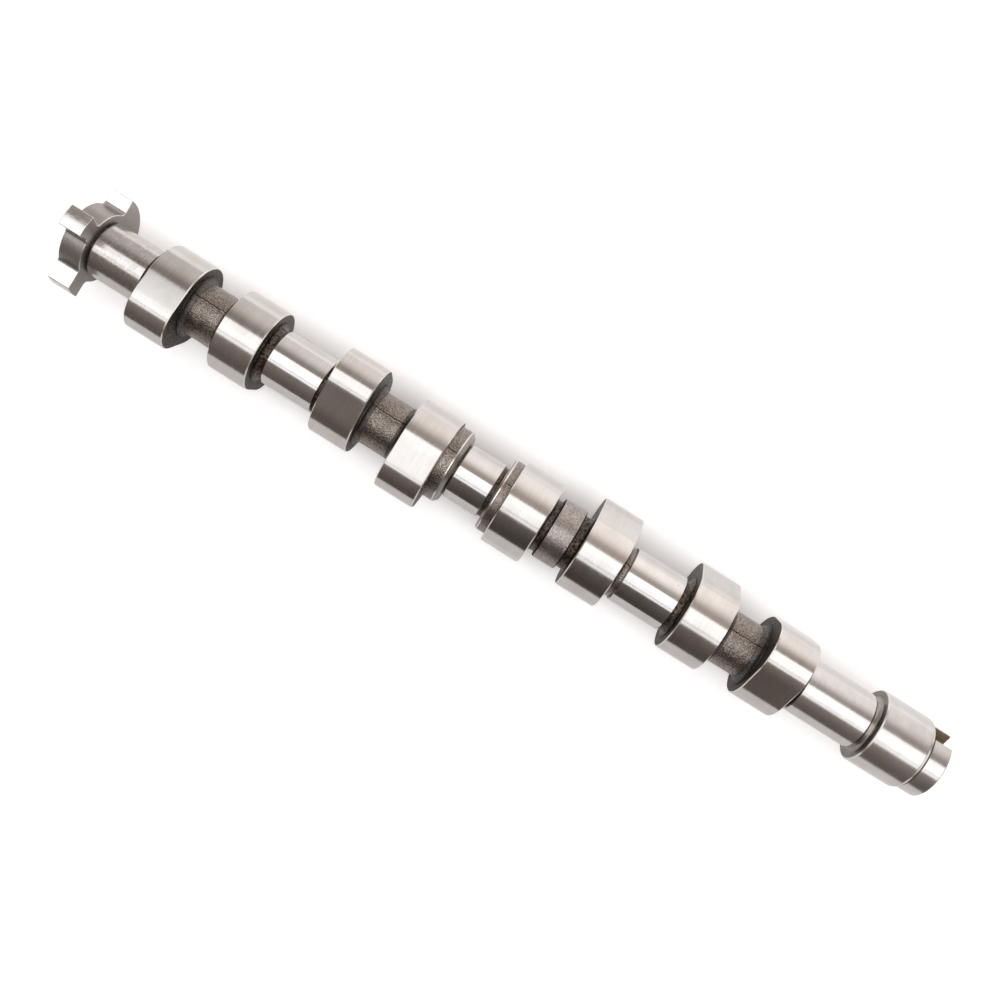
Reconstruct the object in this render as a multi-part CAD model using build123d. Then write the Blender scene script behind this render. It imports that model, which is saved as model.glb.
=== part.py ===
from build123d import *
import math
import os

os.makedirs("parts", exist_ok=True)

# Overhead camshaft of an in-line four, one grey-iron casting, ground on its bearings and lobes.
# The axis is X, the trigger wheel is at -X and the slotted drive nose at +X. Millimetres.
# X = 0 is the middle of the centre bearing. Angles turn about +X and start at +Z.

# --- engine layout -------------------------------------------------------------------------
bore_pitch = 88.0                    # cylinder to cylinder
cylinder_plane = -0.6                # midway between cylinders 2 and 3, seen from the centre bearing
valve_spacing = 37.2                 # between the two lobes of a cylinder
firing_order = (1, 3, 4, 2)          # each step is a quarter turn of the camshaft

# --- cam lobes: base arc, two flat flanks and a nose arc, all tangent ------------------------
lobe_width = 19.0
base_radius = 19.1
lift = 5.9
flank_angle = 61.0                   # from the nose to where a flank leaves the base circle
first_lobe_angle = 52.3              # nose of cylinder 1, trigger wheel side
lobe_separation = 105.4              # between the noses of one cylinder
lobe_chamfer = 0.45
nose_centre = lift / (1 - math.cos(math.radians(flank_angle)))
nose_radius = base_radius - nose_centre * math.cos(math.radians(flank_angle))

# --- bearings --------------------------------------------------------------------------------
journal_radius = 12.9
journal_chamfer = 0.4
journals = {1: (-188.4, -163.7), 2: (-100.7, -75.7), 3: (-8.5, 8.5), 4: (75.0, 99.9), 5: (163.1, 194.4)}
drive_journal = (197.1, 219.5)
drive_journal_radius = 17.0
drive_journal_chamfer = 0.8

# --- as-cast stretches between them ------------------------------------------------------------
cast_radius = 12.45                  # between the two lobes of a cylinder
cast_fillet = 2.4
relief_radius = 11.9                 # beside each bearing
hub_flare = 2.1                      # at the foot of the drive journal
collar_radius = 17.2                 # thrust collars on both sides of the centre bearing
collar_gap = (0.8, 1.8)              # from the bearing to each collar
collar_chamfer = (1.7, 0.9)
centre_ring_radius = 14.35           # rough-turned ring of cylinder 3
centre_ring_width = 11.0
centre_ring_chamfer = 0.5
centre_ring_shift = -0.3             # from midway between the two lobes

# --- trigger wheel for the phase sensor ----------------------------------------------------------
wheel_face = -189.4
wheel_thickness = 10.4
wheel_root_radius = 16.3
wheel_radius = 24.2
lug_fillet = 2.4
lug_leading = 2.6                    # leading flank of the first lug; the rest follow by quarter turns
lug_rim_spans = (23.5, 24.0, 24.0, 62.0)    # angular length of each lug at the rim
lug_root_spans = (24.5, 36.0, 24.5, 62.0)   # and at the root circle

# --- drive nose ----------------------------------------------------------------------------------
nose_end = 229.7
nose_shank_radius = 15.45
nose_chamfer = 0.5
nose_relief_radius = 14.3
nose_relief_width = 1.6
slot_width = 8.4
slot_offset = 1.1                    # off the axis, so the pump coupling fits one way round
slot_depth = 9.6
slot_angle = 28.8                    # from +Y
slot_chamfer = 0.35                  # along both edges of the mouth

# --- centre-drilled ends -----------------------------------------------------------------------
centre_radius = 3.6
centre_pilot_radius = 1.6
centre_pilot_depth = 5.0


def drum(x0, x1, radius, left=0.0, right=0.0):
    """Cylinder from x0 to x1. A positive left or right breaks that edge with a 45 degree chamfer,
    and a negative one flares the end out to the wall beside it."""
    points = [(x0, 0), (x0, radius - left), (x0 + abs(left), radius),
              (x1 - abs(right), radius), (x1, radius - right), (x1, 0)]
    points = [p for i, p in enumerate(points) if i == 0 or p != points[i - 1]]
    return revolve(make_face(Polyline(*points, close=True)), Axis.X)


def waist(x0, x1, radius, corner):
    """Cylinder from x0 to x1 with a concave fillet into the wall at either end."""
    outline = [
        Line((x0, 0), (x0, radius + corner)),
        RadiusArc((x0, radius + corner), (x0 + corner, radius), -corner),
        Line((x0 + corner, radius), (x1 - corner, radius)),
        RadiusArc((x1 - corner, radius), (x1, radius + corner), -corner),
        Line((x1, radius + corner), (x1, 0)),
        Line((x1, 0), (x0, 0)),
    ]
    return revolve(make_face(outline), Axis.X)


def polar(radius, angle):
    """Point of the YZ plane at an angle that turns from +Z about +X."""
    return (-radius * math.sin(math.radians(angle)), radius * math.cos(math.radians(angle)))


def lobe(x, angle):
    """Cam lobe centred on x with its nose at the angle."""
    base_points = [polar(base_radius, angle + side * flank_angle) for side in (-1, 1)]
    cy, cz = polar(nose_centre, angle)
    nose_points = []
    for turn in (-flank_angle, 0, flank_angle):
        y, z = polar(nose_radius, angle + turn)
        nose_points.append((cy + y, cz + z))
    outline = [
        ThreePointArc(base_points[0], polar(base_radius, angle + 180), base_points[1]),
        Line(base_points[1], nose_points[2]),
        ThreePointArc(*reversed(nose_points)),
        Line(nose_points[0], base_points[0]),
    ]
    plate = extrude(Plane.YZ.offset(x - lobe_width / 2) * make_face(outline), lobe_width)
    rims = plate.faces().filter_by(Axis.X).edges()
    return chamfer(rims, lobe_chamfer)


def trigger_wheel():
    """Root disc with four lugs; their root corners are filleted."""
    outline = Circle(wheel_root_radius)
    for i, (rim_span, root_span) in enumerate(zip(lug_rim_spans, lug_root_spans)):
        lead = lug_leading + 90 * i
        rim = [polar(wheel_radius, lead - share * rim_span) for share in (0, 0.5, 1)]
        root = polar(wheel_root_radius, lead - root_span)
        outline += make_face([
            ThreePointArc(*rim),
            Polyline(rim[2], root, (0, 0), rim[0]),
        ])
    halfway = (wheel_root_radius + wheel_radius) / 2
    roots = [v for v in outline.vertices() if math.hypot(v.X, v.Y) < halfway]
    outline = fillet(roots, lug_fillet)
    return extrude(Plane.YZ.offset(wheel_face - wheel_thickness) * outline, wheel_thickness)


def centre_hole(x, direction):
    """Lathe centre: a 60 degree cone with a pilot, drilled from x along the direction."""
    cone_depth = (centre_radius - centre_pilot_radius) * math.tan(math.radians(60))
    inner = x + direction * cone_depth
    bottom = inner + direction * centre_pilot_depth
    points = [(x, 0), (x, centre_radius), (inner, centre_pilot_radius),
              (bottom, centre_pilot_radius), (bottom, 0)]
    return revolve(make_face(Polyline(*points, close=True)), Axis.X)


# --- lobes, phased by the firing order ---------------------------------------------------------
lobe_centres = {}
lobes = []
for cylinder in range(1, 5):
    middle = cylinder_plane + (cylinder - 2.5) * bore_pitch
    phase = firing_order.index(cylinder) * 90
    for side, angle in ((-1, first_lobe_angle), (1, first_lobe_angle + lobe_separation)):
        centre = middle + side * valve_spacing / 2
        lobe_centres[cylinder, side] = centre
        lobes.append(lobe(centre, angle + phase))


def lobe_face(cylinder, side, facing):
    """X of a lobe's flat face; side picks the lobe of the cylinder and facing picks the face."""
    return lobe_centres[cylinder, side] + facing * lobe_width / 2


# --- turned stretches, from the wheel to the nose ------------------------------------------------
body = [drum(*ends, journal_radius, journal_chamfer, journal_chamfer) for ends in journals.values()]
body.append(drum(*drive_journal, drive_journal_radius, drive_journal_chamfer, drive_journal_chamfer))

for cylinder in (1, 2, 4):
    body.append(waist(lobe_face(cylinder, -1, 1), lobe_face(cylinder, 1, -1), cast_radius, cast_fillet))

# Square reliefs beside the bearings, where the grinding wheel runs out.
reliefs = [(wheel_face, journals[1][0]),
           (journals[1][1], lobe_face(1, -1, -1)),
           (lobe_face(1, 1, 1), journals[2][0]),
           (journals[2][1], lobe_face(2, -1, -1)),
           (lobe_face(3, 1, 1), journals[4][0]),
           (journals[4][1], lobe_face(4, -1, -1)),
           (lobe_face(4, 1, 1), journals[5][0])]
body += [drum(*ends, relief_radius) for ends in reliefs]
body.append(drum(journals[5][1], drive_journal[0], relief_radius, 0, -hub_flare))

# Thrust collars: each stands against a lobe and faces the centre bearing.
collar_faces = (journals[3][0] - collar_gap[0], journals[3][1] + collar_gap[1])
body.append(drum(lobe_face(2, 1, 1), collar_faces[0], collar_radius, 0, collar_chamfer[0]))
body.append(drum(collar_faces[1], lobe_face(3, -1, -1), collar_radius, collar_chamfer[1], 0))
body.append(drum(collar_faces[0], collar_faces[1], relief_radius))

# Ring on the stretch between the lobes of cylinder 3.
ring_middle = cylinder_plane + bore_pitch / 2 + centre_ring_shift
ring = (ring_middle - centre_ring_width / 2, ring_middle + centre_ring_width / 2)
body.append(drum(*ring, centre_ring_radius, centre_ring_chamfer, centre_ring_chamfer))
body.append(drum(lobe_face(3, -1, 1), lobe_face(3, 1, -1), cast_radius))

# Drive nose: a shouldered shank behind a narrow relief.
shank = drive_journal[1] + nose_relief_width
body.append(drum(drive_journal[1], shank, nose_relief_radius))
body.append(drum(shank, nose_end, nose_shank_radius, 0, nose_chamfer))

camshaft = trigger_wheel()
for piece in body + lobes:
    camshaft += piece

# Drive slot across the nose, flared by the chamfer from just below the mouth to just above it.
slot_half = slot_width / 2
slot_outline = Polyline((-slot_depth, slot_half), (-slot_chamfer, slot_half),
                        (slot_chamfer, slot_half + 2 * slot_chamfer),
                        (slot_chamfer, -slot_half - 2 * slot_chamfer),
                        (-slot_chamfer, -slot_half), (-slot_depth, -slot_half), close=True)
slot = extrude(Plane.XZ * make_face(slot_outline), 2 * nose_shank_radius, both=True)
camshaft -= Pos(nose_end, 0, 0) * Rot(slot_angle, 0, 0) * Pos(0, 0, slot_offset) * slot
camshaft -= centre_hole(nose_end - slot_depth, -1)
camshaft -= centre_hole(wheel_face - wheel_thickness, 1)

camshaft.label = "camshaft"
export_step(camshaft, "parts/camshaft.step")
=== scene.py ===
import math

import bmesh
import bpy
from mathutils import Matrix, Vector, noise


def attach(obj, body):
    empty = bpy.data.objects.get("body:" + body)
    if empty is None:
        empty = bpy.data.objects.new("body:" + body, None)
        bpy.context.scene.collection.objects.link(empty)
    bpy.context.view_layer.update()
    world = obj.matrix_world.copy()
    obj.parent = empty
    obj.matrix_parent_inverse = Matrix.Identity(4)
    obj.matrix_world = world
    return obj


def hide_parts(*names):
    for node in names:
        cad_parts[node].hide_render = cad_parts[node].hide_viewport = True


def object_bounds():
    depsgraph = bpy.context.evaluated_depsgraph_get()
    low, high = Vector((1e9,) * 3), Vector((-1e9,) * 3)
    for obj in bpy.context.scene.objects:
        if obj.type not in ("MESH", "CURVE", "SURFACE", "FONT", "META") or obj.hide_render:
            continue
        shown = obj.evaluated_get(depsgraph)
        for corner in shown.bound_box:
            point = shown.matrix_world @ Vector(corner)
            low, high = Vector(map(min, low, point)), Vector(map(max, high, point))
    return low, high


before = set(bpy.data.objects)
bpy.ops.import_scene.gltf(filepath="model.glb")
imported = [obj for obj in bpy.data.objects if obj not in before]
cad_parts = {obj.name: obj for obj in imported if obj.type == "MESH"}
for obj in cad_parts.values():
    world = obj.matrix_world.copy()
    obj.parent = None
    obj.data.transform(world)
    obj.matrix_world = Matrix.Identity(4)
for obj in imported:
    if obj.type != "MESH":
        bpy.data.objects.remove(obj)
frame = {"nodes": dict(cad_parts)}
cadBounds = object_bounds()
print("frame loaded:", ", ".join(frame["nodes"]))

mm = 0.001


def linear(hexColour):
    # sRGB hex to the linear colour that a shader takes
    channels = [int(hexColour[i:i + 2], 16) / 255 for i in (1, 3, 5)]
    return tuple(c / 12.92 if c <= 0.04045 else ((c + 0.055) / 1.055) ** 2.4 for c in channels) + (1.0,)


colourA, colourB = 6, 7      # inputs of a Mix node that mixes colours


def addNode(tree, kind, settings=None, links=None):
    # settings are properties or inputs, with colours in hex; a link from a node takes its first output
    made = tree.nodes.new("ShaderNode" + kind)
    for key, value in (settings or {}).items():
        if isinstance(key, str) and hasattr(made, key):
            setattr(made, key, value)
        else:
            made.inputs[key].default_value = linear(value) if isinstance(value, str) else value
    for key, source in (links or {}).items():
        if isinstance(source, bpy.types.Node):
            source = next(socket for socket in source.outputs if socket.enabled)
        tree.links.new(source, made.inputs[key])
    return made


# grain is its size in mm, stretch pulls it out along x, y and z, depth is the height of its bumps in mm;
# cloud and spot are patches of another colour, with their size in mm and how strongly they cover.
# Real grinding marks are too fine to show: they are drawn about half a mm wide, so that they do
finishLooks = {
    # chilled iron, cylindrically ground: near mirror, blurred along the shaft by fine marks round it
    "groundIron": {
        "low": "#C2C0BD", "high": "#C7C5C3", "grain": 0.45, "stretch": (1, 30, 30), "depth": 0.0014,
        "roughness": (0.12, 0.18), "brushed": 0.5,
        "cloud": "#B6B0AA", "cloudSize": 7.0, "cloudCover": 0.35,
        "spot": "#857461", "spotSize": 2.2, "spotFrom": 0.70, "spotCover": 0.6,
    },
    # the lobes, ground by a wider wheel: a little duller, with plainer marks
    "groundLobeIron": {
        "low": "#BFBCB8", "high": "#C5C2BF", "grain": 0.6, "stretch": (1, 24, 24), "depth": 0.0012,
        "roughness": (0.16, 0.21), "brushed": 0.5,
        "cloud": "#B2AAA1", "cloudSize": 9.0, "cloudCover": 0.35,
        "spot": "#8F8478", "spotSize": 1.6, "spotFrom": 0.72, "spotCover": 0.5,
    },
    # the drive end, ground and then lightly lapped: softer reflections
    "lappedIron": {
        "low": "#C3C1BF", "high": "#C9C7C5", "grain": 0.45, "stretch": (1, 30, 30), "depth": 0.0016,
        "roughness": (0.17, 0.23), "brushed": 0.3,
        "cloud": "#B4AEA8", "cloudSize": 6.0, "cloudCover": 0.35,
        "spot": "#857461", "spotSize": 2.0, "spotFrom": 0.72, "spotCover": 0.5,
    },
    # the worn first journal: scuffed, so its highlight is soft and broken
    "wornIron": {
        "low": "#B8B4B0", "high": "#C6C3C0", "grain": 0.9, "stretch": (1, 1.6, 1.6), "depth": 0.004,
        "roughness": (0.15, 0.24), "brushed": 0.3,
        "cloud": "#A9A29B", "cloudSize": 3.5, "cloudCover": 0.4,
        "spot": "#71655A", "spotSize": 1.1, "spotFrom": 0.67, "spotCover": 0.7,
    },
    # the lugs' rims and flanks, cut by a hob, with a broken shine: made pale, partly a painted highlight on
    # the rims
    "hobbedHighlightIron": {
        "low": "#CAC7C3", "high": "#DAD8D5", "grain": 0.5, "stretch": (9, 1, 1), "depth": 0.008,
        "roughness": (0.18, 0.28), "brushed": 0.0,
        "cloud": "#BEB9B4", "cloudSize": 3.0, "cloudCover": 0.4,
        "spot": "#7C7166", "spotSize": 1.0, "spotFrom": 0.70, "spotCover": 0.5,
    },
    # fresh cut edges: the brightest metal, paler than cut iron, partly a painted highlight along the edges
    "edgeHighlightIron": {
        "low": "#CECAC4", "high": "#DEDAD4", "grain": 0.6, "stretch": (1, 1, 1), "depth": 0.010,
        "roughness": (0.16, 0.28), "brushed": 0.0,
        "cloud": "#C2BDB6", "cloudSize": 3.0, "cloudCover": 0.4,
        "spot": "#8F8578", "spotSize": 1.0, "spotFrom": 0.70, "spotCover": 0.6,
    },
    # shoulders faced on a lathe: grey satin with tool rings
    "turnedIron": {
        "low": "#84807B", "high": "#A8A49F", "grain": 0.5, "stretch": (1, 30, 30), "depth": 0.010,
        "roughness": (0.24, 0.36), "brushed": 0.0,
        "cloud": "#746E68", "cloudSize": 2.5, "cloudCover": 0.5,
        "spot": "#4F453C", "spotSize": 1.2, "spotFrom": 0.70, "spotCover": 0.6,
    },
    # wheel faces, milled and then blasted: even satin grey with a fine grain
    "blastedIron": {
        "low": "#96918D", "high": "#B0ACA7", "grain": 0.45, "stretch": (1, 1, 1), "depth": 0.03,
        "roughness": (0.36, 0.46), "brushed": 0.0,
        "cloud": "#8E8882", "cloudSize": 4.0, "cloudCover": 0.3,
        "spot": "#6E655D", "spotSize": 1.4, "spotFrom": 0.70, "spotCover": 0.5,
    },
    # the shaft as it left the sand mould: dark pebbled skin that glints where the grains stand up
    "castIron": {
        "low": "#605852", "high": "#A0968D", "grain": 0.62, "stretch": (1, 1, 1), "depth": 0.27,
        "roughness": (0.31, 0.18), "brushed": 0.0,
        "cloud": "#5A524B", "cloudSize": 5.0, "cloudCover": 0.3,
        "spot": "#332D29", "spotSize": 0.8, "spotFrom": 0.66, "spotCover": 0.8,
    },
    # the lobes' sides and the feet round them: the same skin, finer, and darkened nearly black, partly as
    # painted shade between the lobes
    "castShadedSideIron": {
        "low": "#35312F", "high": "#78736F", "grain": 0.5, "stretch": (1, 1, 1), "depth": 0.16,
        "roughness": (0.52, 0.38), "brushed": 0.0,
        "cloud": "#3A3531", "cloudSize": 3.0, "cloudCover": 0.4,
        "spot": "#26221F", "spotSize": 0.8, "spotFrom": 0.66, "spotCover": 0.6,
    },
    # the middle ring, cast and only skimmed: a tight even grain
    "skimmedIron": {
        "low": "#7A7470", "high": "#B2ABA5", "grain": 0.6, "stretch": (1, 1, 1), "depth": 0.16,
        "roughness": (0.36, 0.26), "brushed": 0.0,
        "cloud": "#6B6662", "cloudSize": 4.0, "cloudCover": 0.3,
        "spot": "#3A342F", "spotSize": 0.9, "spotFrom": 0.69, "spotCover": 0.6,
    },
    # bottoms of the grooves: ragged casting scale, brown and dull, and darker still as painted shade down in
    # the grooves
    "scaledShadedIron": {
        "low": "#28231F", "high": "#71655B", "grain": 0.9, "stretch": (1, 1, 1), "depth": 0.4,
        "roughness": (0.42, 0.24), "brushed": 0.0,
        "cloud": "#2A2522", "cloudSize": 3.0, "cloudCover": 0.5,
        "spot": "#1F1B18", "spotSize": 1.0, "spotFrom": 0.66, "spotCover": 0.7,
    },
    # the slot's walls: broached, with a brown film of old oil, and brighter than that film would be, as
    # painted light inside the slot
    "broachedOilAndLightIron": {
        "low": "#857764", "high": "#B3A38C", "grain": 0.6, "stretch": (12, 1, 1), "depth": 0.02,
        "roughness": (0.38, 0.52), "brushed": 0.0,
        "cloud": "#8A7862", "cloudSize": 3.0, "cloudCover": 0.5,
        "spot": "#3A3027", "spotSize": 1.2, "spotFrom": 0.70, "spotCover": 0.5,
    },
}

# the mould's joint line, which runs along the cast stretches: turn from +Z, and sizes in mm;
# it wanders sideways, and its height rises and falls by the swell
parting = {
    "turn": -19.7, "width": 0.34, "height": 0.12, "wander": 0.9, "wanderScale": 0.4,
    "swell": 0.14, "swellScale": 0.8, "swellRow": (3.0, 7.0),
    "line": "#211C19", "strength": 0.95, "finishes": ("castIron", "castShadedSideIron"),
}
# for every finish: how its noise is made, between which levels of it each pattern sets in, and the turn
# that lays the blur of the grinding marks along the shaft
patterns = {
    "detail": 3.0, "grainRoughness": 0.55, "spotRoughness": 0.6, "tops": (0.36, 0.66),
    "cloud": (0.45, 0.70), "spotEdge": 0.05, "smoothness": (0.3, 0.7), "brushTurn": 0.25,
}


def ironFinish(name, look):
    material = bpy.data.materials.new(name)
    material.use_nodes = True
    tree = material.node_tree
    tree.nodes.clear()
    coords = addNode(tree, "TexCoord")
    place = addNode(tree, "VectorMath", {"operation": "SCALE", "Scale": 1 / mm},
                    {0: coords.outputs["Object"]})
    cell = tuple(look["grain"] * stretch for stretch in look["stretch"])
    pulled = addNode(tree, "VectorMath", {"operation": "DIVIDE", 1: cell}, {0: place})
    detail, grainRough, spotRough = patterns["detail"], patterns["grainRoughness"], patterns["spotRoughness"]
    grain = addNode(tree, "TexNoise", {"Scale": 1.0, "Detail": detail, "Roughness": grainRough},
                    {"Vector": pulled})
    cloud = addNode(tree, "TexNoise", {"Scale": 1 / look["cloudSize"], "Detail": detail}, {"Vector": place})
    spot = addNode(tree, "TexNoise",
                   {"Scale": 1 / look["spotSize"], "Detail": detail, "Roughness": spotRough},
                   {"Vector": place})

    start, full = patterns["tops"]
    tops = addNode(tree, "MapRange", {"From Min": start, "From Max": full}, {"Value": grain})
    colour = addNode(tree, "Mix", {"data_type": "RGBA", colourA: look["low"], colourB: look["high"]},
                     {"Factor": tops})
    start, full = patterns["cloud"]
    clouded = addNode(tree, "MapRange", {"From Min": start, "From Max": full, "To Max": look["cloudCover"]},
                      {"Value": cloud})
    colour = addNode(tree, "Mix", {"data_type": "RGBA", colourB: look["cloud"]},
                     {"Factor": clouded, colourA: colour})
    start, full = look["spotFrom"], look["spotFrom"] + patterns["spotEdge"]
    spotted = addNode(tree, "MapRange", {"From Min": start, "From Max": full, "To Max": look["spotCover"]},
                      {"Value": spot})
    colour = addNode(tree, "Mix", {"data_type": "RGBA", colourB: look["spot"]},
                     {"Factor": spotted, colourA: colour})
    if name in parting["finishes"]:
        turn, wander, width = math.radians(parting["turn"]), parting["wander"], parting["width"]
        across = addNode(tree, "VectorMath",
                         {"operation": "DOT_PRODUCT", 1: (0.0, math.cos(turn), math.sin(turn))}, {0: place})
        drift = addNode(tree, "TexNoise", {"Scale": parting["wanderScale"]}, {"Vector": place})
        drift = addNode(tree, "Math", {"operation": "MULTIPLY_ADD", 1: wander, 2: -wander / 2}, {0: drift})
        offset = addNode(tree, "Math", {"operation": "ADD"}, {0: across.outputs["Value"], 1: drift})
        offset = addNode(tree, "Math", {"operation": "ABSOLUTE"}, {0: offset})
        lined = addNode(tree, "MapRange",
                        {"From Min": width, "From Max": width / 2, "To Max": parting["strength"]},
                        {"Value": offset})
        colour = addNode(tree, "Mix", {"data_type": "RGBA", colourB: parting["line"]},
                         {"Factor": lined, colourA: colour})

    start, full = patterns["smoothness"]
    smooth, rough = look["roughness"]
    rough = addNode(tree, "MapRange",
                    {"From Min": start, "From Max": full, "To Min": smooth, "To Max": rough},
                    {"Value": grain})
    normal = addNode(tree, "Bump", {"Distance": look["depth"] * mm}, {"Height": grain})
    tangent = addNode(tree, "Tangent", {"direction_type": "RADIAL", "axis": "X"})
    brushed = {"Anisotropic": look["brushed"], "Anisotropic Rotation": patterns["brushTurn"]}
    shader = addNode(tree, "BsdfPrincipled", {"Metallic": 1.0, **brushed},
                     {"Base Color": colour, "Roughness": rough, "Normal": normal, "Tangent": tangent})
    addNode(tree, "OutputMaterial", None, {"Surface": shader})
    return material


finishes = {name: ironFinish(name, look) for name, look in finishLooks.items()}
print("materials:", ", ".join(finishes))

# how finely pieces are divided, and how far each cast finish stands out unevenly, in mm: coarse swellings,
# with fine ones on them; an edge bent by more than its sharp angle, in degrees, is shaded as an edge
meshing = {
    "segments": 240, "partingSpan": 3.0, "partingStep": 0.3, "castStep": 0.5,
    "uneven": {"castIron": 0.10, "castShadedSideIron": 0.08, "skimmedIron": 0.05, "scaledShadedIron": 0.16},
    "fineScale": 1.1, "fineShare": 0.5, "coarseScale": 0.28, "coarseShift": 40,
    "sharp": 32.0, "sharpHollow": 60.0, "sharpCut": 28.0, "sharpLip": 15.0,
}


def around(radius, turn):
    # a point across the shaft, its angle from +Z about +X
    return -radius * math.sin(math.radians(turn)), radius * math.cos(math.radians(turn))


def ringTurns():
    # even turns, closer together where the parting line runs
    span, step = meshing["partingSpan"], meshing["partingStep"]
    even = [360 * i / meshing["segments"] for i in range(meshing["segments"])]
    fine = []
    for middle in (parting["turn"] % 360, (parting["turn"] + 180) % 360):
        even = [turn for turn in even if abs(turn - middle) > span]
        fine += [middle - span + i * step for i in range(round(2 * span / step) + 1)]
    return sorted(even + fine)


turns = ringTurns()


def uneven(finish, x, y, z):
    # how far a cast finish stands out at a point, in mm
    fine = noise.noise(Vector((x, y, z)) * meshing["fineScale"])
    coarse = noise.noise(Vector((x + meshing["coarseShift"], y, z)) * meshing["coarseScale"])
    return meshing["uneven"].get(finish, 0.0) * (meshing["fineShare"] * fine + coarse)


def partingRidge(x, turn, radius):
    # how far the joint line stands out at a point, in mm
    gap = min(abs((turn - parting["turn"] - half + 180) % 360 - 180) for half in (0, 180))
    swell = noise.noise(Vector((x * parting["swellScale"], *parting["swellRow"])))
    height = parting["height"] + parting["swell"] * swell
    return height * math.exp(-(math.radians(gap) * radius / parting["width"]) ** 2)


def ringFaces(count, rings):
    # a cap, the bands between rings of count points, and a cap
    faces = [tuple(reversed(range(count)))]
    for i in range(rings - 1):
        here, there = i * count, (i + 1) * count
        for j in range(count):
            following = (j + 1) % count
            faces.append((here + j, here + following, there + following, there + j))
    return faces + [tuple(range((rings - 1) * count, rings * count))]


def meshObject(name, rings):
    # each ring is a loop of points in mm
    mesh = bpy.data.meshes.new(name)
    points = [Vector(point) * mm for ring in rings for point in ring]
    mesh.from_pydata(points, [], ringFaces(len(rings[0]), len(rings)))
    piece = bpy.data.objects.new(name, mesh)
    bpy.context.scene.collection.objects.link(piece)
    return piece


def dressPiece(piece, names, sharpAngle):
    for name in names:
        piece.data.materials.append(finishes[name])
    piece.data.shade_smooth()
    piece.data.set_sharp_from_angle(angle=math.radians(sharpAngle))
    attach(piece, "root")
    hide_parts("camshaft")


def joinRings(name, rings, bands, sharpAngle=meshing["sharp"]):
    # bands gives the finish between one ring and the next
    piece = meshObject(name, rings)
    names = list(dict.fromkeys(bands))
    slots = [names.index(band) for band in bands for point in rings[0]]
    piece.data.polygons.foreach_set("material_index", [slots[0], *slots, slots[-1]])
    dressPiece(piece, names, sharpAngle)
    return piece


def lathe(name, profile, sharpAngle=meshing["sharp"]):
    # profile is a list of (x, radius, finish of the band that follows); the cast bands get their uneven skin
    rings, bands = [], []
    for i, (x, radius, finish) in enumerate(profile):
        nextX, nextRadius = profile[min(i + 1, len(profile) - 1)][:2]
        steps = max(1, round(math.hypot(nextX - x, nextRadius - radius) / meshing["castStep"]))
        if finish not in meshing["uneven"]:
            steps = 1
        for step in range(steps):
            atX, atRadius = x + (nextX - x) * step / steps, radius + (nextRadius - radius) * step / steps
            ring = []
            for turn in turns:
                out = uneven(finish, atX, *around(atRadius, turn))
                if finish in parting["finishes"]:
                    out += partingRidge(atX, turn, atRadius)
                ring.append((atX, *around(atRadius + out, turn)))
            rings.append(ring)
            bands.append(finish)
    return joinRings(name, rings, bands[:-1], sharpAngle)


# where the shaft meets a lobe's face, in mm; every piece starts sunk into its neighbour
hub = {"foot": 2.4, "ring": 0.45, "rise": 0.35, "sunk": 0.5, "steps": 10}


def foot(face, facing, radius, finish, size=hub["foot"], ring=hub["ring"]):
    # from a face out along the shaft: a low ring on the face, then a hollow quarter-round down to the shaft
    start, high = face - facing * hub["sunk"], radius + size
    if ring:
        points = [(start, high + hub["rise"], finish), (face + facing * ring, high + hub["rise"], finish)]
    else:
        points = [(start, high, finish)]
    for i in range(hub["steps"] + 1):
        a = math.pi / 2 * i / hub["steps"]
        points.append((face + facing * (ring + size * (1 - math.cos(a))), high - size * math.sin(a), finish))
    return points if facing > 0 else points[::-1]


# sizes in mm; firstAngle is that of the first lobe's nose from +Z, separation is between a cylinder's two,
# and skinFade is the outer share of a side over which its cast skin fades out
lobes = {
    "borePitch": 88.0, "cylinderPlane": -0.6, "valveSpacing": 37.2, "firingOrder": (1, 3, 4, 2),
    "width": 19.0, "baseRadius": 19.1, "lift": 5.9, "flankAngle": 61.0,
    "firstAngle": 52.3, "separation": 105.4, "chamfer": 0.45, "skinFade": 0.25,
    "basePoints": 130, "nosePoints": 100, "flankPoints": 8, "sideRings": 12, "coreRadius": 9.0,
}
# straight flanks touch the base circle and the nose's arc, both at the flank angle
noseCentre = lobes["lift"] / (1 - math.cos(math.radians(lobes["flankAngle"])))
noseRadius = lobes["baseRadius"] - noseCentre * math.cos(math.radians(lobes["flankAngle"]))


def lobeOutline(angle, inset=0.0):
    # base arc, flank, nose arc, flank; the inset draws it in all round
    flank, baseLast, noseLast = lobes["flankAngle"], lobes["basePoints"] - 1, lobes["nosePoints"] - 1
    base = [around(lobes["baseRadius"] - inset, angle + flank + (360 - 2 * flank) * i / baseLast)
            for i in range(baseLast + 1)]
    centre = Vector(around(noseCentre, angle))
    tip = [tuple(centre + Vector(around(noseRadius - inset, angle - flank + 2 * flank * i / noseLast)))
           for i in range(noseLast + 1)]
    shares = [i / lobes["flankPoints"] for i in range(1, lobes["flankPoints"])]
    rise = [tuple(Vector(base[-1]).lerp(Vector(tip[0]), share)) for share in shares]
    fall = [tuple(Vector(tip[-1]).lerp(Vector(base[0]), share)) for share in shares]
    return base + rise + tip + fall


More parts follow.
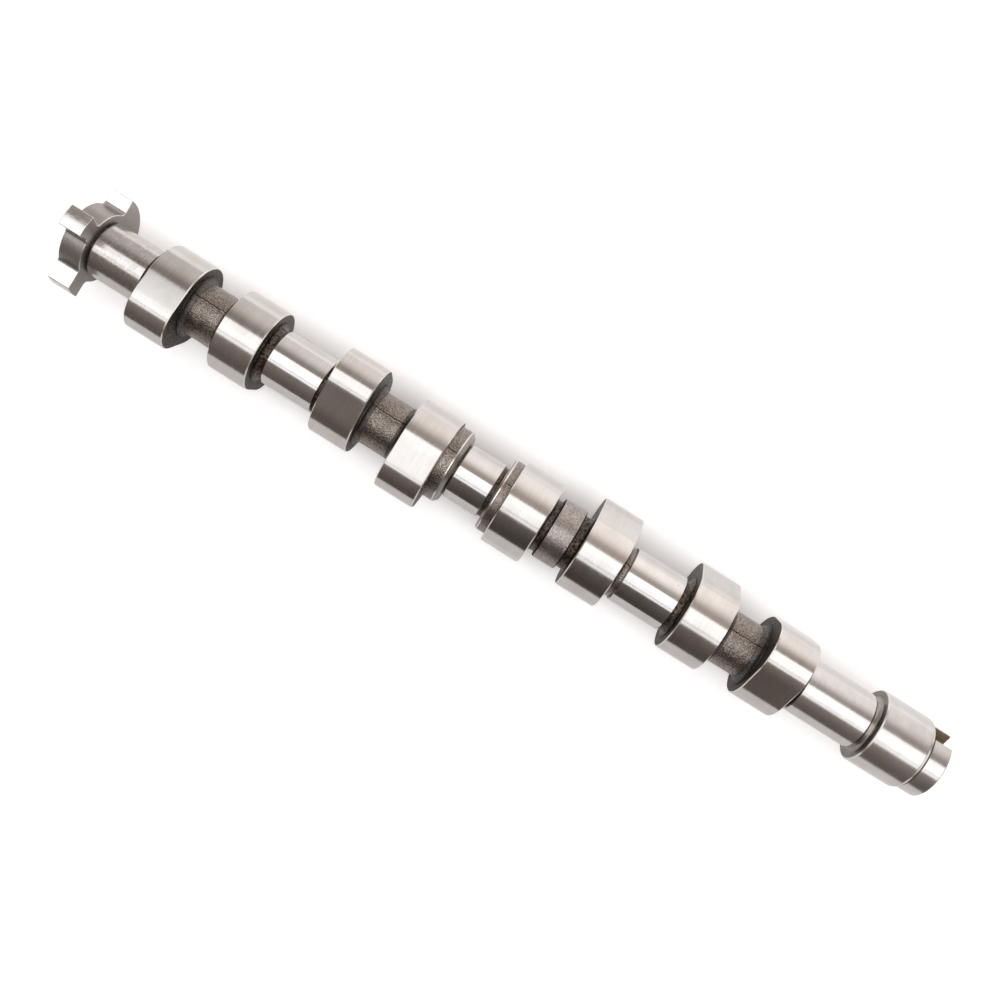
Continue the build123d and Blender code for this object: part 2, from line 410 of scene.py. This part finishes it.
def buildLobe(name, middle, angle):
    # one skin from the core out over a side, the bevelled and ground track, and back in to the core
    x0, x1, edge = middle - lobes["width"] / 2, middle + lobes["width"] / 2, lobes["chamfer"]
    rim, drawnIn = lobeOutline(angle), lobeOutline(angle, edge)
    inner = [tuple(Vector(point).normalized() * lobes["coreRadius"]) for point in rim]

    def sideRings(x, outward):
        made = []
        for i in range(lobes["sideRings"]):
            share = i / (lobes["sideRings"] - 1)
            ring = []
            for a, b in zip(inner, drawnIn):
                y, z = Vector(a).lerp(Vector(b), share)
                skin = uneven("castShadedSideIron", x, y, z) * min(1.0, (1 - share) / lobes["skinFade"])
                ring.append((x + outward * skin, y, z))
            made.append(ring)
        return made

    left, right = sideRings(x0, -1), sideRings(x1, 1)
    rings = left + [[(x, *point) for point in rim] for x in (x0 + edge, x1 - edge)] + right[::-1]
    # the sides take the darkened cast finish, partly painted shade between the lobes
    side = ["castShadedSideIron"] * (lobes["sideRings"] - 1)
    # the bevels take the bright edge finish, partly a painted highlight
    return joinRings(name, rings, side + ["edgeHighlightIron", "groundLobeIron", "edgeHighlightIron"] + side)


lobeMiddles = {}
for cylinder in range(1, 5):
    middle = lobes["cylinderPlane"] + (cylinder - 2.5) * lobes["borePitch"]
    phase = 90 * lobes["firingOrder"].index(cylinder)
    for side, angle in ((-1, lobes["firstAngle"]), (1, lobes["firstAngle"] + lobes["separation"])):
        number = 2 * cylinder - (side < 0)
        lobeMiddles[number] = middle + side * lobes["valveSpacing"] / 2
        buildLobe(f"lobe{number}", lobeMiddles[number], angle + phase)
print("lobes:", len(lobeMiddles))


def lobeFace(number, facing):
    return lobeMiddles[number] + facing * lobes["width"] / 2


journals = {
    "radius": 12.9, "chamfer": 0.4, "core": 10.0, "finishes": {1: "wornIron", 5: "lappedIron"},
    "spans": {1: (-188.4, -163.7), 2: (-100.7, -75.7), 3: (-8.5, 8.5), 4: (75.0, 99.9), 5: (163.1, 194.4)},
    "driveSpan": (197.1, 219.5), "driveRadius": 17.0, "driveChamfer": 0.55,
    # at the drive journal's end a narrow darker band, a painted dark line, then a bright bevel: distance past
    # that end, drop in radius and finish of what follows
    "driveLip": ((-0.45, 0.0, "turnedIron"), (-0.15, 0.12, "edgeHighlightIron"), (0.75, 0.52, "turnedIron")),
}
core, radius, edge = journals["core"], journals["radius"], journals["chamfer"]
for number, (x0, x1) in journals["spans"].items():
    # the chamfers take the bright edge finish, partly a painted highlight
    lathe(f"journal{number}", [
        (x0, core, "turnedIron"), (x0, radius - edge, "edgeHighlightIron"),
        (x0 + edge, radius, journals["finishes"].get(number, "groundIron")),
        (x1 - edge, radius, "edgeHighlightIron"), (x1, radius - edge, "turnedIron"), (x1, core, "turnedIron")])
(x0, x1), high, edge = journals["driveSpan"], journals["driveRadius"], journals["driveChamfer"]
lip = [(x1 + past, high - drop, finish) for past, drop, finish in journals["driveLip"]]
lathe("driveJournal", [
    (x0, core, "turnedIron"), (x0, high - edge, "edgeHighlightIron"), (x0 + edge, high, "lappedIron"),
    *lip, (lip[-1][0], core, "turnedIron")], meshing["sharpLip"])
print("journals:", len(journals["spans"]) + 1)

shaft = {"waistRadius": 12.45, "reliefRadius": 11.9, "hubFlare": 2.1}
hollow, radius = meshing["sharpHollow"], shaft["waistRadius"]
for cylinder in (1, 2, 4):
    x0, x1 = lobeFace(2 * cylinder - 1, 1), lobeFace(2 * cylinder, -1)
    # the feet take the lobes' darkened side finish: painted shade in the hollow where lobe meets shaft
    left, right = foot(x0, 1, radius, "castShadedSideIron"), foot(x1, -1, radius, "castShadedSideIron")
    bare = (x0 + hub["ring"] + hub["foot"], radius, "castIron")
    lathe(f"waist{cylinder}", [*left[:-1], bare, *right], hollow)

# the reliefs between a lobe and a bearing, by the bearing's number and the lobe's; most take the dark scaled
# finish, partly painted shade in the groove
sunk, radius = hub["sunk"], shaft["reliefRadius"]
for number, lobe in ((1, 1), (2, 3), (4, 7)):
    start = (journals["spans"][number][1] - sunk, radius, "scaledShadedIron")
    lathe(f"reliefBeforeLobe{lobe}", [start, *foot(lobeFace(lobe, -1), -1, radius, "scaledShadedIron")], hollow)
for number, lobe, finish in ((2, 2, "scaledShadedIron"), (4, 6, "castIron"), (5, 8, "scaledShadedIron")):
    end = (journals["spans"][number][0] + sunk, radius, finish)
    lathe(f"reliefAfterLobe{lobe}", [*foot(lobeFace(lobe, 1), 1, radius, finish), end], hollow)
# the groove before the drive journal, in the dark scaled finish: partly painted shade
lathe("driveRelief", [(journals["spans"][5][1] - sunk, radius, "scaledShadedIron"),
                      *foot(journals["driveSpan"][0], -1, radius, "turnedIron", shaft["hubFlare"], 0.0)])

# thrust collars: cast outside, faced and chamfered towards the centre journal, with a thin land in the bright
# edge finish beside the chamfer, partly a painted highlight line
collars = {"radius": 17.2, "gap": (0.8, 1.8), "chamfer": (1.7, 0.9), "land": 0.5}
left, right = journals["spans"][3][0] - collars["gap"][0], journals["spans"][3][1] + collars["gap"][1]
high, land, (wide, narrow) = collars["radius"], collars["land"], collars["chamfer"]
lathe("collarLeft", [
    (lobeFace(4, 1) - sunk, high, "castIron"), (left - wide - land, high, "edgeHighlightIron"),
    (left - wide, high, "turnedIron"), (left, high - wide, "turnedIron"), (left, core, "turnedIron")])
lathe("collarRight", [
    (right, core, "turnedIron"), (right, high - narrow, "turnedIron"), (right + narrow, high, "edgeHighlightIron"),
    (right + narrow + land, high, "castIron"), (lobeFace(5, -1) + sunk, high, "castIron")])
# the core shows in the gaps by the centre journal, in the dark scaled finish: partly painted shade
lathe("centreCore", [(left - sunk, radius, "scaledShadedIron"), (right + sunk, radius, "scaledShadedIron")])

# the stretch of cylinder 3: a skimmed ring between two ragged grooves, whose dark scaled finish is partly
# painted shade
ring = {"radius": 14.35, "width": 11.0, "chamfer": 0.5, "shift": -0.3, "foot": 1.9}
lathe("waist3", [*foot(lobeFace(5, 1), 1, shaft["waistRadius"], "scaledShadedIron", ring["foot"], 0.0),
                 *foot(lobeFace(6, -1), -1, shaft["waistRadius"], "scaledShadedIron", ring["foot"], 0.0)], hollow)
middle = lobes["cylinderPlane"] + lobes["borePitch"] / 2 + ring["shift"]
x0, x1, edge, high = middle - ring["width"] / 2, middle + ring["width"] / 2, ring["chamfer"], ring["radius"]
lathe("middleRing", [
    (x0, core, "scaledShadedIron"), (x0, high - edge, "scaledShadedIron"), (x0 + edge, high, "skimmedIron"),
    (x1 - edge, high, "scaledShadedIron"), (x1, high - edge, "scaledShadedIron"), (x1, core, "scaledShadedIron")])
print("cast stretches done")

wheel = {
    "face": -189.4, "thickness": 10.4, "root": 16.3, "radius": 24.2, "fillet": 2.4,
    # where the first lug ends, from +Z, with the next ones 90 degrees on, and how far each spans
    "leading": 2.6, "rimSpans": (23.5, 24.0, 24.0, 62.0), "rootSpans": (24.5, 36.0, 24.5, 62.0),
    # up to this height over the root circle the sides keep the faces' darker, duller finish
    "dull": 1.0, "edge": 0.25, "edgeAngle": 40,
    "rimPoints": 25, "rootPoints": 12, "filletPoints": 11,
}


def rootFillet(rim, root, openSide):
    # tangent arc between a flank, from rim to root, and the root circle
    start, run = Vector(rim), (Vector(root) - Vector(rim)).normalized()
    size, last = wheel["fillet"], wheel["filletPoints"] - 1
    base = start + Vector((-run.y, run.x)) * openSide * size
    b, c = base.dot(run), base.length_squared - (wheel["root"] + size) ** 2
    reach = -b - math.sqrt(b * b - c)
    centre = base + run * reach
    onFlank, onRoot = start + run * reach - centre, centre * wheel["root"] / (wheel["root"] + size) - centre
    sweep = math.atan2(onFlank.x * onRoot.y - onFlank.y * onRoot.x, onFlank.dot(onRoot))
    return [centre + Matrix.Rotation(sweep * i / last, 2) @ onFlank for i in range(last + 1)]


def wheelOutline():
    lugs = []
    for i, (rimSpan, rootSpan) in enumerate(zip(wheel["rimSpans"], wheel["rootSpans"])):
        lead, last = wheel["leading"] + 90 * i, wheel["rimPoints"] - 1
        rim = [around(wheel["radius"], lead - rimSpan * (1 - j / last)) for j in range(last + 1)]
        rising = rootFillet(rim[0], around(wheel["root"], lead - rootSpan), 1)
        falling = rootFillet(rim[-1], around(wheel["root"], lead), -1)
        lugs.append((rising[::-1], rim, falling))
    outline, count = [], wheel["rootPoints"]
    for i, (rising, rim, falling) in enumerate(lugs):
        begin, end = falling[-1], lugs[(i + 1) % len(lugs)][0][0]
        sweep = math.atan2(begin.x * end.y - begin.y * end.x, begin.dot(end))
        turned = [Matrix.Rotation(sweep * j / count, 2) for j in range(1, count)]
        floor = [turn @ begin for turn in turned]
        outline += [tuple(point) for point in (*rising, *rim, *falling, *floor)]
    return outline


def cutAway(piece, name, rings):
    # the shape between the rings is taken out of the piece
    cutter = meshObject(name, rings)
    shape = bmesh.new()
    shape.from_mesh(cutter.data)
    bmesh.ops.recalc_face_normals(shape, faces=shape.faces)
    shape.to_mesh(cutter.data)
    shape.free()
    cut = piece.modifiers.new(name, "BOOLEAN")
    cut.object, cut.operation, cut.solver = cutter, "DIFFERENCE", "EXACT"
    bpy.context.view_layer.update()
    mesh = bpy.data.meshes.new_from_object(piece.evaluated_get(bpy.context.evaluated_depsgraph_get()))
    piece.modifiers.remove(cut)
    piece.data = mesh
    bpy.data.objects.remove(cutter)


# radii and lengths in mm; the cut starts clear of the face
drilling = {"drill": 3.6, "pilot": 1.6, "pilotDepth": 5.0, "coneAngle": 60.0, "clear": 1.0, "points": 48}


def centreDrill(x, direction):
    # the hole for a lathe centre in the face at x: a short cone and the pilot under it
    wide, narrow, count = drilling["drill"], drilling["pilot"], drilling["points"]
    cone = (wide - narrow) * math.tan(math.radians(drilling["coneAngle"]))
    stations = [(x - direction * drilling["clear"], wide), (x, wide), (x + direction * cone, narrow),
                (x + direction * (cone + drilling["pilotDepth"]), narrow)]
    return [[(at, *around(radius, 360 * i / count)) for i in range(count)] for at, radius in sorted(stations)]


outline = wheelOutline()
far = wheel["face"] - wheel["thickness"]
triggerWheel = meshObject("triggerWheel", [[(x, *point) for point in outline] for x in (far, wheel["face"])])
cutAway(triggerWheel, "wheelCentre", centreDrill(far, 1))
wheelFinishes = ["blastedIron", "hobbedHighlightIron", "edgeHighlightIron"]
dressPiece(triggerWheel, wheelFinishes, meshing["sharpCut"])
# rims and flanks above the root take the pale finish, partly a painted highlight; the root keeps the faces'
# darker one
for face in triggerWheel.data.polygons:
    reach = max(math.hypot(*triggerWheel.data.vertices[v].co.yz) for v in face.vertices) / mm
    if abs(face.normal.x) < 0.5 and reach > wheel["root"] + wheel["dull"]:
        face.material_index = wheelFinishes.index("hobbedHighlightIron")
# the broken edges take the bright edge finish, partly a painted highlight
bevel = triggerWheel.modifiers.new("brokenEdges", "BEVEL")
bevel.width, bevel.segments = wheel["edge"] * mm, 2
bevel.limit_method, bevel.angle_limit = "ANGLE", math.radians(wheel["edgeAngle"])
bevel.material = wheelFinishes.index("edgeHighlightIron")
# the groove behind the wheel, in the dark scaled finish: partly painted shade
lathe("wheelRelief", [(wheel["face"] - sunk, shaft["reliefRadius"], "scaledShadedIron"),
                      (journals["spans"][1][0] + sunk, shaft["reliefRadius"], "scaledShadedIron")])
print("trigger wheel:", len(outline), "points round")

nose = {
    "end": 229.7, "shank": 15.45, "chamfer": 0.5, "reliefRadius": 14.3, "reliefWidth": 1.6, "corner": 0.3,
    "slotWidth": 8.4, "slotOffset": 1.1, "slotDepth": 9.6, "slotAngle": 28.8, "slotChamfer": 0.35,
    "slotReach": 30.0, "endRing": 4.0,      # half the slot cutter's length, the end face's inner ring
    # how far off its place, in mm, and how squarely turned a face may be to count as the slot's
    "near": 0.1, "square": 0.99,
}
shank, end, corner, bevelled = nose["shank"], nose["end"], nose["corner"], nose["chamfer"]
neck = journals["driveSpan"][1] + nose["reliefWidth"]
driveNose = lathe("driveNose", [
    (journals["driveSpan"][1] - sunk, nose["reliefRadius"], "turnedIron"),
    (neck, nose["reliefRadius"], "turnedIron"), (neck, shank - corner, "turnedIron"),
    (neck + corner, shank, "lappedIron"), (end - bevelled, shank, "turnedIron"),
    (end, shank - bevelled, "turnedIron"), (end, nose["endRing"], "turnedIron")])
half, flare, deep = nose["slotWidth"] / 2, nose["slotChamfer"], end - nose["slotDepth"]
section = [(deep, -half), (end - flare, -half), (end + flare, -half - 2 * flare),
           (end + flare, half + 2 * flare), (end - flare, half), (deep, half)]
tilt = math.radians(nose["slotAngle"])
along, up = Vector((0, math.cos(tilt), math.sin(tilt))), Vector((0, -math.sin(tilt), math.cos(tilt)))
cutAway(driveNose, "slotCutter", [
    [Vector((x, 0, 0)) + along * reach + up * (height + nose["slotOffset"]) for x, height in section]
    for reach in (-nose["slotReach"], nose["slotReach"])])
cutAway(driveNose, "noseCentre", centreDrill(deep, -1))
# the slot's walls and bottom take the brightened broached finish: painted light inside the slot
driveNose.data.materials.append(finishes["broachedOilAndLightIron"])
near, square = nose["near"], nose["square"]
for face in driveNose.data.polygons:
    past, height = face.center.x / mm - deep, face.center.dot(up) / mm - nose["slotOffset"]
    onWall = abs(face.normal.dot(up)) > square and abs(height) < half + near and past > 0
    onBottom = abs(face.normal.x) > square and abs(past) < near
    if onWall or onBottom:
        face.material_index = len(driveNose.data.materials) - 1
driveNose.data.shade_smooth()
driveNose.data.set_sharp_from_angle(angle=math.radians(meshing["sharpCut"]))
print("drive nose and centre drillings done")

stage = {
    "paper": "#F2F1F1", "floorX": (-0.75, 0.75), "floorY": (-0.32, 0.75),
    # how brightly the paper itself glows to the camera, by the distance in m from the shaft's shadow: that
    # lies liftFrom towards +Y, and a distance along the shaft counts only by the liftStretch
    "lift": ((0.0, 0.02), (0.008, 0.02), (0.014, 0.12), (0.025, 0.36), (0.25, 0.40), (0.5, 0.7)),
    "liftFrom": 0.005, "liftStretch": 0.1,
    # and to the metal, by the distance in m towards +Y: a painted reflection that only the metal sees,
    # brighter towards +Y
    "mirrored": ((0.0, 0.0), (0.03, 0.22), (0.1, 0.32), (0.135, 0.54), (0.17, 0.56)),
    # strips of the softbox: angles from overhead, positive towards -Y, and radiance
    "lampStrips": ((-18.0, 18.6, 1.65), (20.4, 29.2, 1.5)), "lampHeight": 0.90, "lampLength": 2.2,
    "lampColour": "#F8FBFF",
    # the room round the shaft's line: degrees from overhead, positive towards -Y, and colour
    "roomStrength": 1.7,
    "room": ((-180, "#D0CECC"), (-100, "#F2EFED"), (-84, "#F8F3F0"), (-66, "#F8F1EE"), (-54, "#EAE2DE"),
             (-47, "#D8CFCA"), (-42, "#C6BDB7"), (-33, "#A39892"), (-24, "#9E938C"), (24, "#827975"),
             (40, "#726965"), (56, "#665E5A"), (74, "#58514D"), (97, "#524C48"), (104, "#B0AEAC"),
             (180, "#D0CECC")),
    # how much of it is left along the shaft, from -X to +X, on the +Y side and on the -Y side
    "fadeBack": ((-1.0, 0.38), (-0.45, 0.45), (-0.33, 0.56), (-0.22, 0.74), (0.0, 1.0), (0.2, 1.08),
                 (0.36, 0.86), (0.5, 0.6)),
    "fadeFront": ((-1.0, 1.0), (-0.27, 1.08), (-0.15, 1.02), (-0.03, 0.54), (0.1, 0.42), (0.22, 0.68),
                  (0.31, 1.1), (0.45, 1.15)),
    # the walls past the shaft's ends, high and low: where along X they take over, and between which heights
    "endHigh": "#F4F2F0", "endLow": "#5A5551", "endFrom": (0.70, 0.92), "endHeights": (0.08, 0.30),
}


def fillRamp(ramp, stops):
    elements = ramp.color_ramp.elements
    elements.remove(elements[1])
    for i, (position, colour) in enumerate(stops):
        stop = elements[0] if i == 0 else elements.new(position)
        stop.position, stop.color = position, colour


def paperFinish():
    # matt white paper that glows a little to the camera, so it is white beyond the shadow, and to the metal
    # as a painted reflection
    material = bpy.data.materials.new("mattPaper")
    material.use_nodes = True
    tree = material.node_tree
    tree.nodes.clear()
    paper = addNode(tree, "BsdfDiffuse", {"Color": stage["paper"]})
    rays = addNode(tree, "LightPath")
    coords = addNode(tree, "TexCoord")
    stretch, shift = (stage["liftStretch"], 1.0, 0.0), (0.0, -stage["liftFrom"], 0.0)
    pulled = addNode(tree, "VectorMath", {"operation": "MULTIPLY_ADD", 1: stretch, 2: shift},
                     {0: coords.outputs["Object"]})
    away = addNode(tree, "VectorMath", {"operation": "LENGTH"}, {0: pulled})
    axes = addNode(tree, "SeparateXYZ", None, {0: coords.outputs["Object"]})
    glows = []
    for key, distance in (("lift", away.outputs["Value"]), ("mirrored", axes.outputs["Y"])):
        reach = stage[key][-1][0]
        share = addNode(tree, "MapRange", {"From Max": reach}, {"Value": distance})
        glows.append(addNode(tree, "ValToRGB", None, {0: share}))
        fillRamp(glows[-1], [(at / reach, (level, level, level, 1.0)) for at, level in stage[key]])
    lift, paintedReflectionGlow = glows
    seen = addNode(tree, "Math", {"operation": "MULTIPLY"}, {0: lift, 1: rays.outputs["Is Camera Ray"]})
    # the glow that only the metal sees is a painted reflection
    mirrored = addNode(tree, "Math", {"operation": "MULTIPLY_ADD"},
                       {0: paintedReflectionGlow, 1: rays.outputs["Is Glossy Ray"], 2: seen})
    glow = addNode(tree, "Emission", {"Color": "#FFFFFF"}, {"Strength": mirrored})
    both = addNode(tree, "AddShader", None, {0: paper, 1: glow})
    addNode(tree, "OutputMaterial", None, {"Surface": both})
    return material


low = cadBounds[0].z
(west, east), (south, north) = stage["floorX"], stage["floorY"]
floorMesh = bpy.data.meshes.new("floor")
corners = [(west, south, low), (east, south, low), (east, north, low), (west, north, low)]
floorMesh.from_pydata(corners, [], [(0, 1, 2, 3)])
floorMesh.materials.append(paperFinish())
floor = bpy.data.objects.new("floor", floorMesh)
bpy.context.scene.collection.objects.link(floor)

world = bpy.data.worlds.new("studio")
bpy.context.scene.world = world
world.use_nodes = True
tree = world.node_tree
tree.nodes.clear()
coords = addNode(tree, "TexCoord")
axes = addNode(tree, "SeparateXYZ", None, {0: coords.outputs["Generated"]})
minusY = addNode(tree, "Math", {"operation": "MULTIPLY", 1: -1.0}, {0: axes.outputs["Y"]})
angle = addNode(tree, "Math", {"operation": "ARCTAN2"}, {0: minusY, 1: axes.outputs["Z"]})
share = addNode(tree, "MapRange", {"From Min": -math.pi, "From Max": math.pi}, {"Value": angle})
ramp = addNode(tree, "ValToRGB", None, {0: share})
fillRamp(ramp, [((degrees + 180) / 360, linear(colour)) for degrees, colour in stage["room"]])
byX = addNode(tree, "MapRange", {"From Min": -1.0, "From Max": 1.0}, {"Value": axes.outputs["X"]})
fades = []
for key in ("fadeBack", "fadeFront"):
    fades.append(addNode(tree, "ValToRGB", None, {0: byX}))
    fillRamp(fades[-1], [((x + 1) / 2, (level, level, level, 1.0)) for x, level in stage[key]])
front = addNode(tree, "Math", {"operation": "GREATER_THAN", 1: 0.0}, {0: angle})
fade = addNode(tree, "Mix", {"data_type": "RGBA"}, {"Factor": front, colourA: fades[0], colourB: fades[1]})
room = addNode(tree, "Mix", {"data_type": "RGBA", "blend_type": "MULTIPLY", "Factor": 1.0},
               {colourA: ramp, colourB: fade})
lowEnd, highEnd = stage["endHeights"]
height = addNode(tree, "MapRange", {"From Min": lowEnd, "From Max": highEnd}, {"Value": axes.outputs["Z"]})
endWall = addNode(tree, "Mix", {"data_type": "RGBA", colourA: stage["endLow"], colourB: stage["endHigh"]},
                  {"Factor": height})
alongX = addNode(tree, "Math", {"operation": "ABSOLUTE"}, {0: axes.outputs["X"]})
nearEnd, atEnd = stage["endFrom"]
toEnd = addNode(tree, "MapRange", {"From Min": nearEnd, "From Max": atEnd}, {"Value": alongX})
room = addNode(tree, "Mix", {"data_type": "RGBA"}, {"Factor": toEnd, colourA: room, colourB: endWall})
lit = addNode(tree, "Background", {"Strength": stage["roomStrength"]}, {"Color": room})
white = addNode(tree, "Background", {"Color": "#FFFFFF"})
rays = addNode(tree, "LightPath")
seen = addNode(tree, "MixShader", None, {0: rays.outputs["Is Camera Ray"], 1: lit, 2: white})
addNode(tree, "OutputWorld", None, {"Surface": seen})

for number, (fromAngle, toAngle, radiance) in enumerate(stage["lampStrips"]):
    lamp = bpy.data.lights.new(f"softbox{number}", "AREA")
    far, near = (-math.tan(math.radians(angle)) * stage["lampHeight"] for angle in (fromAngle, toAngle))
    lamp.shape, lamp.size, lamp.size_y = "RECTANGLE", stage["lampLength"], far - near
    lamp.color = linear(stage["lampColour"])[:3]
    lamp.energy = radiance * math.pi * lamp.size * lamp.size_y
    softbox = bpy.data.objects.new(f"softbox{number}", lamp)
    softbox.location = (0.0, (near + far) / 2, stage["lampHeight"])
    bpy.context.scene.collection.objects.link(softbox)

# place, target and lens in mm, turn about the line of sight in degrees, nearest distance seen in m
view = {
    "place": (18.08, -1.29, 436.7), "target": (13.64, -1.34, 0.0), "turn": 32.02,
    "lens": 36.44, "sensor": 36.0, "nearest": 0.01,
}
camera = bpy.data.cameras.new("camera")
camera.lens, camera.sensor_width, camera.clip_start = view["lens"], view["sensor"], view["nearest"]
back = (Vector(view["place"]) - Vector(view["target"])).normalized()
turn = math.radians(view["turn"])
sideways = Vector((math.cos(turn), math.sin(turn), 0.0))
sideways = (sideways - back * sideways.dot(back)).normalized()
facing = Matrix((sideways, back.cross(sideways), back)).transposed().to_4x4()
cameraObject = bpy.data.objects.new("camera", camera)
cameraObject.matrix_world = Matrix.Translation(Vector(view["place"]) * mm) @ facing
bpy.context.scene.collection.objects.link(cameraObject)
bpy.context.scene.camera = cameraObject
bpy.context.scene.view_settings.view_transform = "Standard"
print("stage set")
